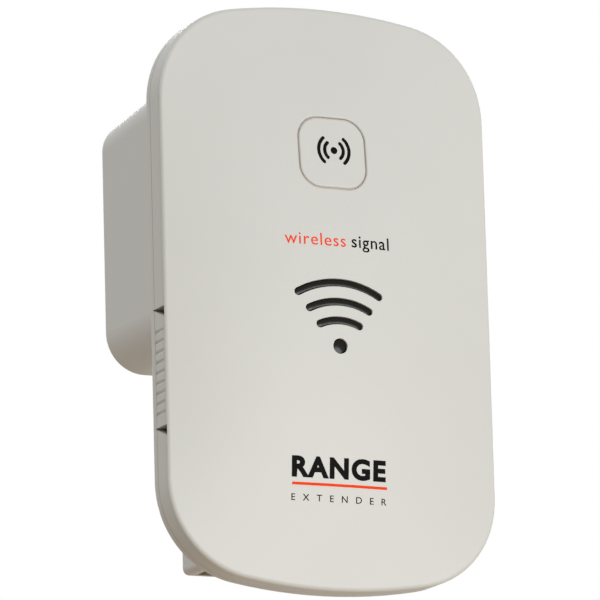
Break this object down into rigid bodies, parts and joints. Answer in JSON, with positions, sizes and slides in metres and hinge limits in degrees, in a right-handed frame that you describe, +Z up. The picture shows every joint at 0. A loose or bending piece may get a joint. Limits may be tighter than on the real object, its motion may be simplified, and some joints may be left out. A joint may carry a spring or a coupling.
{
  "type": "wifi range extender",
  "caption": "Plug-in wifi range extender: thin rounded case with a bulging front, push button and wifi-shaped lights, mains power block with flat blades and a network socket behind.",
  "frame": {"origin": "midway between the two mains blades, on the rear face of the power block that meets the wall outlet", "axes": "+Y points into the wall along the mains blades, the front face looks along -Y, +Z is up, +X is to the right seen from the front"},
  "size_m": [0.0666, 0.0531, 0.11],
  "materials": {
    "white_abs": "fine moulded grain",
    "screw_steel": "zinc plated",
    "label_film": "satin",
    "smoked_acrylic": "smoked translucent",
    "black_plastic": "satin",
    "lamp_body": "clear resin",
    "circuit_board": "solder mask",
    "gold_plate": "plated",
    "chip_epoxy": "moulded",
    "silicone_pad": "matt",
    "black_aluminium": "anodised black",
    "tinned_steel": "tinned",
    "ceramic_chip": "sintered",
    "insulation_film": "film",
    "ferrite": "sintered",
    "winding_tape": "polyester tape",
    "capacitor_sleeve": "heat-shrunk sleeve",
    "fuse_body": "moulded",
    "capacitor_blue": "dipped lacquer",
    "spring_brass": "stamped",
    "nickel_brass": "nickel plated"
  },
  "bodies": {
    "case": {"front_cover": "white_abs", "rear_cover": "white_abs", "case_screws": "screw_steel", "rating_label": "label_film", "light_guide": "smoked_acrylic", "led_baffle": "black_plastic", "status_leds": "lamp_body", "main_pcb": "circuit_board", "main_pcb_screws": "screw_steel", "wps_switch_body": "black_plastic", "reset_switch_body": "black_plastic", "network_socket": "black_plastic", "network_socket_contacts": "gold_plate", "network_transformer": "black_plastic", "processor_chip": "chip_epoxy", "thermal_pad": "silicone_pad", "heatsink": "black_aluminium", "memory_chip": "chip_epoxy", "flash_chip": "chip_epoxy", "clock_crystal": "tinned_steel", "voltage_regulator": "chip_epoxy", "radio_shield_can": "tinned_steel", "board_capacitors": "ceramic_chip", "antenna_left": "tinned_steel", "antenna_right": "tinned_steel", "insulation_sheet": "insulation_film", "board_link_pins": "gold_plate", "power_pcb": "circuit_board", "power_pcb_screws": "screw_steel", "transformer_core": "ferrite", "transformer_winding": "winding_tape", "input_capacitors": "capacitor_sleeve", "output_capacitors": "capacitor_sleeve", "bridge_rectifier": "chip_epoxy", "fuse": "fuse_body", "filter_inductor": "ferrite", "noise_capacitor": "capacitor_blue", "optocoupler": "chip_epoxy", "power_controller": "chip_epoxy", "output_diode": "chip_epoxy", "blade_contacts": "spring_brass", "blade_left": "nickel_brass", "blade_right": "nickel_brass", "blade_carrier": "black_plastic"},
    "button": {"wps_button": "white_abs"},
    "button_switch_plunger": {"wps_switch_plunger": "black_plastic"},
    "reset_plunger": {"reset_switch_plunger": "black_plastic"}
  },
  "joints": [
    {"name": "button_press", "type": "slide", "parent": "case", "child": "button", "axis": [0, 1, 0], "range_m": [0, 0.0003], "stiffness_N_per_m": 5000},
    {"name": "button_switch_press", "type": "slide", "parent": "case", "child": "button_switch_plunger", "axis": [0, 1, 0], "range_m": [0, 0.0003]},
    {"name": "reset_press", "type": "slide", "parent": "case", "child": "reset_plunger", "axis": [0, 0, 1], "range_m": [0, 0.00025], "stiffness_N_per_m": 5000}
  ],
  "couplings": [
    {"joint": "button_switch_press", "follows": "button_press", "ratio": 1}
  ]
}
